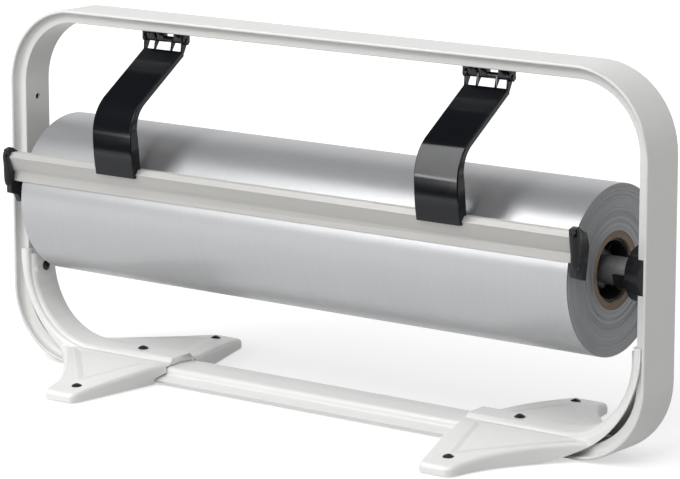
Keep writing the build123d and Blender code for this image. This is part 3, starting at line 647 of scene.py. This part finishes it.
def serratedStripTree():
    tree, given, result = newTree("serratedStrip", (
        ("Tooth", "Object"), ("Count", "Int"), ("Pitch", "Float"), ("Start", "Vector"),
        ("Steel", "Material"),
    ))
    take = given.outputs
    line = addNode(tree, "GeometryNodeMeshLine", mode="OFFSET")
    step = addNode(tree, "ShaderNodeCombineXYZ")
    plug(tree, step.inputs["X"], take["Pitch"])
    plug(tree, line.inputs["Count"], take["Count"])
    plug(tree, line.inputs["Start Location"], take["Start"])
    tree.links.new(step.outputs[0], line.inputs["Offset"])
    shape = addNode(tree, "GeometryNodeObjectInfo")
    plug(tree, shape.inputs["Object"], take["Tooth"])
    teeth = passOn(tree, line.outputs["Mesh"], "GeometryNodeInstanceOnPoints")
    tree.links.new(shape.outputs["Geometry"], teeth.inputs["Instance"])
    real = passOn(tree, teeth.outputs["Instances"], "GeometryNodeRealizeInstances")
    both = passOn(tree, take["Geometry"], "GeometryNodeJoinGeometry")
    tree.links.new(real.outputs["Geometry"], both.inputs["Geometry"])
    steel = setFinish(tree, both.outputs["Geometry"], take["Steel"])
    tree.links.new(steel.outputs["Geometry"], result.inputs["Geometry"])
    return tree


def bladeStrip(low, high):
    # flat strip with a small chamfer along its upper edge, from the root of the teeth up
    front, back = low.y, high.y
    root, lip = low.z + blade["toothHeight"], blade["upperChamfer"]
    outline = [
        (front, root), (back, root), (back, high.z - lip), (back - lip, high.z),
        (front + lip, high.z), (front, high.z - lip),
    ]
    work = bmesh.new()
    ends = [[work.verts.new((x, y, z)) for y, z in outline] for x in (low.x, high.x)]
    work.faces.new(ends[0])
    work.faces.new(list(reversed(ends[1])))
    joinRings(work, ends)
    return meshFrom("bladeStrip", work)


bladeLow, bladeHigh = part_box("cutting_blade")
bladeRoom = bladeHigh.x - bladeLow.x - 2 * blade["endMargin"]
toothCount = int(bladeRoom / blade["pitch"])
tooth = makeTooth(bladeHigh.y - bladeLow.y)
firstTooth = (
    -(toothCount - 1) * blade["pitch"] / 2,
    (bladeLow.y + bladeHigh.y) / 2,
    bladeLow.z + blade["toothHeight"],
)
cuttingBlade = growPiece("serratedBlade", serratedStripTree(), {
    "Tooth": tooth,
    "Count": toothCount,
    "Pitch": blade["pitch"],
    "Start": firstTooth,
    "Steel": finishes["blade_steel"],
}, bladeStrip(bladeLow, bladeHigh))
bpy.data.objects.remove(tooth)
settle(cuttingBlade, "cutting_blade")
print("blade:", toothCount, "teeth")


# domed screws with a hexagon socket; the small ones have a share of the head's size
screwForm = {
    "headRadius": 4.0 * mm,
    "headRise": 2.3 * mm,
    "rimShare": 0.3,
    "rimRings": ((0.97, 0), (1.0, 0.12), (1.0, 0.9)),
    "domeShares": (0.985, 0.94, 0.86, 0.74, 0.6, 0.48),
    "socketShare": 0.34,
    "socketMouth": 1.1,
    "socketDepth": 0.62,
    "socketChamfer": 0.08,
    "tipChamfer": 0.2,
    "segments": 48,
    "sharpAngle": 38,
}


def makeScrew(name, length, scale, shank):
    headRadius = screwForm["headRadius"] * scale
    rise = screwForm["headRise"] * scale
    segments = screwForm["segments"] if scale == 1.0 else screwForm["segments"] // 2
    socket = headRadius * screwForm["socketShare"]
    rim = rise * screwForm["rimShare"]
    ball = (headRadius**2 + (rise - rim) ** 2) / (2 * (rise - rim))
    tip = shank * screwForm["tipChamfer"]
    chamfer = rise * screwForm["socketChamfer"]

    def domeHeight(r):
        return rise - ball + math.sqrt(ball**2 - r**2)

    # each ring: radius, height, and whether it is six-sided
    lip = domeHeight(socket)
    floor = lip - screwForm["socketDepth"] * rise
    rings = [(shank - tip, -length, False), (shank, -length + tip, False), (shank, 0, False)]
    rings += [(headRadius * wide, rim * high, False) for wide, high in screwForm["rimRings"]]
    rings += [(headRadius * s, domeHeight(headRadius * s), False) for s in screwForm["domeShares"]]
    mouth = socket * screwForm["socketMouth"]
    rings += [(mouth, lip, True), (socket, lip - chamfer, True), (socket, floor, True)]
    work = bmesh.new()
    loops = []
    for radius, z, sixSided in rings:
        loop = []
        for i in range(segments):
            turn = 2 * math.pi * i / segments
            r = radius
            if sixSided:
                r *= math.cos(math.pi / 6) / math.cos((turn % (math.pi / 3)) - math.pi / 6)
            loop.append(work.verts.new((r * math.cos(turn), r * math.sin(turn), z)))
        loops.append(loop)
    joinRings(work, loops)
    end = work.verts.new((0, 0, -length))
    pit = work.verts.new((0, 0, floor - chamfer))
    for i in range(segments):
        j = (i + 1) % segments
        work.faces.new((loops[0][j], loops[0][i], end))
        work.faces.new((loops[-1][i], loops[-1][j], pit))
    return linkPiece(name, meshFrom(name, work))


def screwSetTree():
    tree, given, result = newTree("screwSet", (("Screw", "Object"), ("Finish", "Material")))
    take = given.outputs
    shape = addNode(tree, "GeometryNodeObjectInfo")
    plug(tree, shape.inputs["Object"], take["Screw"])
    facing = addNode(tree, "GeometryNodeInputNamedAttribute", data_type="FLOAT_VECTOR")
    facing.inputs["Name"].default_value = "facing"
    turn = addNode(tree, "FunctionNodeEulerToRotation")
    tree.links.new(facing.outputs["Attribute"], turn.inputs[0])
    put = passOn(tree, take["Geometry"], "GeometryNodeInstanceOnPoints")
    tree.links.new(shape.outputs["Geometry"], put.inputs["Instance"])
    tree.links.new(turn.outputs[0], put.inputs["Rotation"])
    real = passOn(tree, put.outputs["Instances"], "GeometryNodeRealizeInstances")
    finished = setFinish(tree, real.outputs["Geometry"], take["Finish"])
    tree.links.new(finished.outputs["Geometry"], result.inputs["Geometry"])
    return tree


def pointsFacing(name, places):
    # each place is where the head sits, which way it looks and how far it is turned
    mesh = bpy.data.meshes.new(name)
    mesh.from_pydata([place for place, look, spin in places], [], [])
    facing = mesh.attributes.new("facing", "FLOAT_VECTOR", "POINT")
    for i, (place, look, spin) in enumerate(places):
        turn = Vector(look).to_track_quat("Z", "Y") @ Euler((0, 0, spin)).to_quaternion()
        facing.data[i].vector = turn.to_euler()
    return mesh


# where the screws sit, for the right side; the feet are the same shape turned half a turn
screwSpots = {
    "frontToe": (178.3 * mm, -91.5 * mm),
    "backToe": (162.0 * mm, 93.3 * mm),
    "centre": (175.8 * mm, 18.7 * mm),
    "arm": (275.2 * mm, 72.0 * mm),
    "hinge": 148.0 * mm,
    "tab": (7.0 * mm, -53.6 * mm),
    "tabHead": 1.2 * mm,
    "bracket": (12.0 * mm, 4.9 * mm, 267.4 * mm),
}
footRoof = {"top": 15.0 * mm, "circle": 800.0 * mm, "seatDepth": 0.5 * mm}


def seatHeight(y):
    # the toes' roof is part of a large circle, and the seat is pressed into it
    circle = footRoof["circle"]
    return footRoof["top"] - circle + math.sqrt(circle**2 - y**2) - footRoof["seatDepth"]


up, down = (0, 0, 1), (0, 0, -1)
sides = (-1, 1)
tabStep, tabY = screwSpots["tab"]
bracketStep, bracketY, bracketZ = screwSpots["bracket"]
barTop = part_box("tab_screws")[1].z - screwSpots["tabHead"]


def toePlaces(spot, spin):
    x, y = screwSpots[spot]
    return [((s * x, s * y, seatHeight(y)), up, spin(s)) for s in sides]


def hingePlaces(step, y, z, look, spin):
    # two small screws at each hinge
    x = screwSpots["hinge"]
    return [((a * x + b * step, y, z), look, a + spin * b) for a in sides for b in sides]


centreX, centreZ = screwSpots["centre"]
armX, armZ = screwSpots["arm"]
screwSets = {
    "toe_screws": {
        "length": 6.0 * mm, "scale": 1.0, "shank": 2.4 * mm,
        "places": toePlaces("frontToe", lambda s: 0.4 + s) + toePlaces("backToe", lambda s: 1.3 * s),
    },
    "centre_screws": {
        "length": 13.2 * mm, "scale": 1.0, "shank": 2.4 * mm,
        "places": [((s * centreX, 0, centreZ), up, 0.9 * s) for s in sides],
    },
    "arm_screws": {
        "length": 10.6 * mm, "scale": 1.0, "shank": 2.4 * mm,
        "places": [((s * armX, 0, armZ), (-s, 0, 0), 0.5 * s) for s in sides],
    },
    "tab_screws": {
        "length": 4.0 * mm, "scale": 0.46, "shank": 1.2 * mm,
        "places": hingePlaces(tabStep, tabY, barTop, up, 0.3),
    },
    "bracket_screws": {
        "length": 4.5 * mm, "scale": 0.46, "shank": 1.2 * mm,
        "places": hingePlaces(bracketStep, bracketY, bracketZ, down, 0.4),
    },
}
screwTree = screwSetTree()
for node, screws in screwSets.items():
    form = makeScrew(node + "Form", screws["length"], screws["scale"], screws["shank"])
    values = {"Screw": form, "Finish": finishes[slotOf[node]]}
    piece = growPiece(node + "Set", screwTree, values, pointsFacing(node + "Points", screws["places"]))
    bpy.data.objects.remove(form)
    smoothTo(piece, screwForm["sharpAngle"])
    settle(piece, node)
print("screws:", sum(len(screws["places"]) for screws in screwSets.values()))


# the rest keep their CAD shape: a merged copy of each gets even normals and its finish
grown = {"paper_roll", "cutting_blade", *screwSets}
blackened = {"left_hinge_pin": "black_screw", "right_hinge_pin": "black_screw"}
plainDress = {"weldGap": 0.001 * mm, "sharpAngle": 32, "normalWeight": 60}
footForm = {
    "innerEdge": (133 * mm, 168 * mm),
    "notchPull": 4.5 * mm,
    "backPull": 3.0 * mm,
    "backFrom": (14 * mm, 26 * mm),
    "narrow": {"frontToe": 0.20, "backToe": 0.16},
    "narrowFrom": (45 * mm, 112 * mm),
    "keepRound": (7.0 * mm, 15.0 * mm),
}


def easeIn(value, low, high):
    share = min(max((value - low) / (high - low), 0.0), 1.0)
    return share * share * (3 - 2 * share)


def shapeFoot(work, side):
    # the pressed foot narrows a little towards each toe, and its inner edge stands further out
    for vert in work.verts:
        x, y = vert.co.x * side, vert.co.y * side
        for toe, narrow in footForm["narrow"].items():
            screwX, screwY = screwSpots[toe]
            if y * screwY > 0:
                away = easeIn(math.hypot(x - screwX, y - screwY), *footForm["keepRound"])
                along = easeIn(abs(y), *footForm["narrowFrom"])
                x += (screwX - x) * narrow * along * away
        pull = footForm["notchPull"] + footForm["backPull"] * easeIn(y, *footForm["backFrom"])
        x += pull * (1 - easeIn(x, *footForm["innerEdge"]))
        vert.co.x = x * side


for node, cadPiece in frame["nodes"].items():
    if node in grown:
        continue
    copy = linkPiece(node + "Dressed", cadPiece.data.copy())
    work = bmesh.new()
    work.from_mesh(copy.data)
    bmesh.ops.remove_doubles(work, verts=work.verts, dist=plainDress["weldGap"])
    if node in ("left_foot", "right_foot"):
        shapeFoot(work, 1 if node == "right_foot" else -1)
    work.to_mesh(copy.data)
    work.free()
    slot = blackened.get(node, slotOf[node])
    copy.data.materials.clear()
    copy.data.materials.append(finishes[slot])
    smoothTo(copy, plainDress["sharpAngle"])
    even = copy.modifiers.new("evenNormals", "WEIGHTED_NORMAL")
    even.keep_sharp = True
    even.weight = plainDress["normalWeight"]
    settle(copy, node)
print("dressed nodes:", len(frame["nodes"]) - len(grown))


# rounded grip along the front edge of each end cap, to lift the bar by
capGrip = {
    "y": -58.6 * mm,
    "top": 174.6 * mm,
    "bottom": 146.0 * mm,
    "halfWidth": (3.1 * mm, 4.7 * mm),
    "neck": (161.0 * mm, 170.0 * mm),
    "halfThick": 3.3 * mm,
    "stand": 2.3 * mm,
    "squareness": 0.75,
    "bluntness": 0.62,
    "endFullness": 0.55,
    "endGap": 0.02,
    "rows": 26,
    "steps": 28,
}


def squared(value, power):
    return math.copysign(abs(value) ** power, value)


def makeGrip(name, side, faceX):
    # lofted rings: broad at the top, narrower below the neck, both ends rounded
    middleX = faceX + capGrip["stand"] - capGrip["halfThick"]
    middleZ = (capGrip["top"] + capGrip["bottom"]) / 2
    reachZ = (capGrip["top"] - capGrip["bottom"]) / 2
    narrow, broad = capGrip["halfWidth"]
    rows, steps, gap = capGrip["rows"], capGrip["steps"], capGrip["endGap"]
    work = bmesh.new()
    rings = []
    for i in range(rows + 1):
        turn = math.pi * (gap + (1 - 2 * gap) * i / rows)
        height = middleZ + reachZ * squared(math.cos(turn), capGrip["bluntness"])
        full = math.sin(turn) ** capGrip["endFullness"]
        width = narrow + (broad - narrow) * easeIn(height, *capGrip["neck"])
        ring = []
        for k in range(steps):
            angle = 2 * math.pi * k / steps
            y = capGrip["y"] + width * full * squared(math.cos(angle), capGrip["squareness"])
            out = capGrip["halfThick"] * full * squared(math.sin(angle), capGrip["squareness"])
            ring.append(work.verts.new((side * (middleX + out), y, height)))
        rings.append(ring)
    joinRings(work, rings)
    work.faces.new(rings[0])
    work.faces.new(list(reversed(rings[-1])))
    mesh = meshFrom(name, work)
    mesh.materials.append(gripPlastic)
    mesh.shade_smooth()
    return linkPiece(name, mesh)


for side, node in zip(sides, ("left_end_cap", "right_end_cap")):
    low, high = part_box(node)
    grip = makeGrip(node + "Grip", side, max(abs(low.x), abs(high.x)))
    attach(grip, bodyOf[node])
print("grips:", len(sides))


# soft lamps, a white backdrop and floor
studio = {
    "floorSize": 14.0,
    "floorColour": (0.50, 0.50, 0.50),
    "floorRoughness": 0.9,
    "floorSpecular": 0.1,
    "floorGlow": (0.58, 1.02),
    "glowReach": (0.5, 2.6),
    "skyLevel": 0.46,
    "roomLevel": 0.06,
    "backdropRise": (113, 142),
}
lamps = {
    "bigPanel": {
        "place": (-1.08, -1.40, 1.56), "aim": (-1.08, -0.06, 0.20), "size": (0.72, 2.20), "power": 34.0,
    },
    "frontStrip": {
        "place": (-1.28, -1.95, 0.61), "aim": (-1.28, 0, 0.20), "size": (0.86, 0.15), "power": 6.6,
    },
    "keyPanel": {
        "place": (0.80, -1.90, 1.85), "aim": (0, 0, 0.15), "size": (1.2, 1.0), "power": 27.0,
    },
    "topPanel": {
        "place": (0.50, -0.45, 2.35), "aim": (0, 0, 0.15), "size": (1.4, 1.2), "power": 10.0,
    },
}


def turnTo(direction):
    return direction.to_track_quat("-Z", "Y").to_euler()


def mirrorOrGlass(tree, path):
    return maths(tree, "MAXIMUM", path.outputs["Is Glossy Ray"], path.outputs["Is Transmission Ray"])


for name, values in lamps.items():
    lamp = bpy.data.lights.new(name, "AREA")
    lamp.shape = "RECTANGLE"
    lamp.size, lamp.size_y = values["size"]
    lamp.energy = values["power"]
    holder = bpy.data.objects.new(name, lamp)
    holder.location = values["place"]
    holder.rotation_euler = turnTo(Vector(values["aim"]) - Vector(values["place"]))
    bpy.context.scene.collection.objects.link(holder)

# the world is white to the eye; mirrors see the white backdrop behind and the dim room in front
world = bpy.data.worlds.new("paleStudio")
world.use_nodes = True
bpy.context.scene.world = world
air = world.node_tree
sky = air.nodes["Background"]
path = addNode(air, "ShaderNodeLightPath")
heading = addNode(air, "ShaderNodeSeparateXYZ")
air.links.new(addNode(air, "ShaderNodeTexCoord").outputs["Generated"], heading.inputs[0])
forward = maths(air, "MULTIPLY", heading.outputs["Y"], -1.0)
rise = maths(air, "ARCTAN2", heading.outputs["Z"], forward)
low, high = (math.radians(degrees) for degrees in studio["backdropRise"])
backdrop = ramp(air, rise, low, high, studio["roomLevel"], 1.0)
seen = ramp(air, mirrorOrGlass(air, path), 0.0, 1.0, studio["skyLevel"], backdrop)
level = ramp(air, path.outputs["Is Camera Ray"], 0.0, 1.0, seen, 1.0)
sky.inputs["Color"].default_value = (1.0, 1.0, 1.0, 1)
plug(air, sky.inputs["Strength"], level)

# the floor takes the object's shadow; a glow that only the eye and mirrors see lifts it to white
half = studio["floorSize"] / 2
floorMesh = bpy.data.meshes.new("paleFloor")
corners = [(-half, -half, 0), (half, -half, 0), (half, half, 0), (-half, half, 0)]
floorMesh.from_pydata(corners, [], [(0, 1, 2, 3)])
floor = linkPiece("paleFloor", floorMesh)
floorFinish = bpy.data.materials.new("paleFloorFinish")
floorFinish.use_nodes = True
floorTree = floorFinish.node_tree
floorShader = floorTree.nodes["Principled BSDF"]
floorShader.inputs["Base Color"].default_value = (*studio["floorColour"], 1)
floorShader.inputs["Roughness"].default_value = studio["floorRoughness"]
floorShader.inputs["Specular IOR Level"].default_value = studio["floorSpecular"]
floorShader.inputs["Emission Color"].default_value = (1.0, 1.0, 1.0, 1)
floorPath = addNode(floorTree, "ShaderNodeLightPath")
toMirrors = mirrorOrGlass(floorTree, floorPath)
toEye = maths(floorTree, "MAXIMUM", floorPath.outputs["Is Camera Ray"], toMirrors)
spread = addNode(floorTree, "ShaderNodeVectorMath", operation="LENGTH")
floorTree.links.new(addNode(floorTree, "ShaderNodeTexCoord").outputs["Object"], spread.inputs[0])
glow = ramp(floorTree, spread.outputs["Value"], *studio["glowReach"], *studio["floorGlow"])
plug(floorTree, floorShader.inputs["Emission Strength"], maths(floorTree, "MULTIPLY", toEye, glow))
floorMesh.materials.append(floorFinish)

# camera where the photograph was taken from
viewpoint = {
    "azimuth": 37.14,
    "elevation": 11.48,
    "place": (1.5014, -1.9625, 0.6280),
    "lens": 181.17,
    "sensorWidth": 36.0,
    "farClip": 60.0,
}
a, e = math.radians(viewpoint["azimuth"]), math.radians(viewpoint["elevation"])
ahead = Vector((-math.sin(a) * math.cos(e), math.cos(a) * math.cos(e), -math.sin(e)))
cameraData = bpy.data.cameras.new("viewCamera")
cameraData.sensor_fit = "HORIZONTAL"
cameraData.sensor_width = viewpoint["sensorWidth"]
cameraData.lens = viewpoint["lens"]
cameraData.clip_end = viewpoint["farClip"]
camera = bpy.data.objects.new("viewCamera", cameraData)
camera.location = viewpoint["place"]
camera.rotation_euler = turnTo(ahead)
bpy.context.scene.collection.objects.link(camera)
bpy.context.scene.camera = camera
bpy.context.scene.view_settings.view_transform = "Standard"
print("studio ready")
